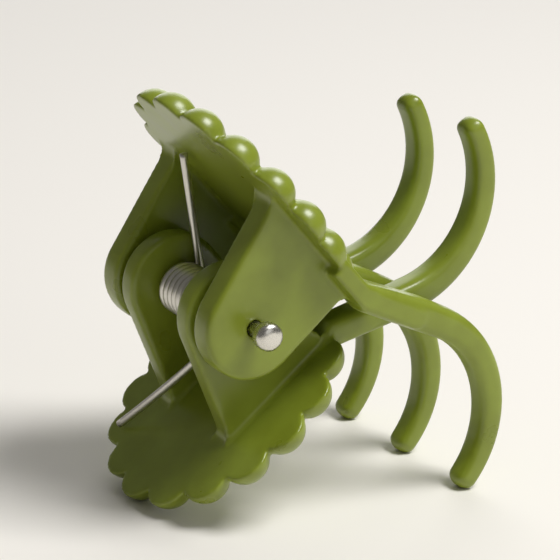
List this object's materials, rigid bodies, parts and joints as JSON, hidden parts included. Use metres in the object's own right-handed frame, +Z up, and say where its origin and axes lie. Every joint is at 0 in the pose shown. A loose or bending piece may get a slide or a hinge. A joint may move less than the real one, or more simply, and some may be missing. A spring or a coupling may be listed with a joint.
{
  "type": "orchid clip",
  "caption": "Small spring clip with two flower-shaped finger pads and crossing hooked tines, for holding a flower stem to a support stick.",
  "frame": {"origin": "middle of the closed clip's footprint, on the surface it lies on", "axes": "+X from the finger pads towards the tines, Y along the hinge pin, +Z up"},
  "size_m": [0.019, 0.0142, 0.0205],
  "materials": {
    "green_plastic": "semi-gloss moulded polypropylene, olive green",
    "steel_pin": "bright drawn steel wire",
    "spring_steel": "bright drawn spring steel wire"
  },
  "bodies": {
    "base_jaw": {"two_tine_jaw": "green_plastic", "hinge_pin": "steel_pin", "torsion_spring": "spring_steel"},
    "swing_jaw": {"three_tine_jaw": "green_plastic"}
  },
  "joints": [
    {"name": "jaw_hinge", "type": "hinge", "parent": "base_jaw", "child": "swing_jaw", "pos_m": [-0.00554, 0, 0.01009], "axis": [0, -1, 0], "range_deg": [0, 100], "stiffness_Nm_per_rad": 0.008, "springref_deg": -57.3, "deforming": ["torsion_spring"]}
  ]
}
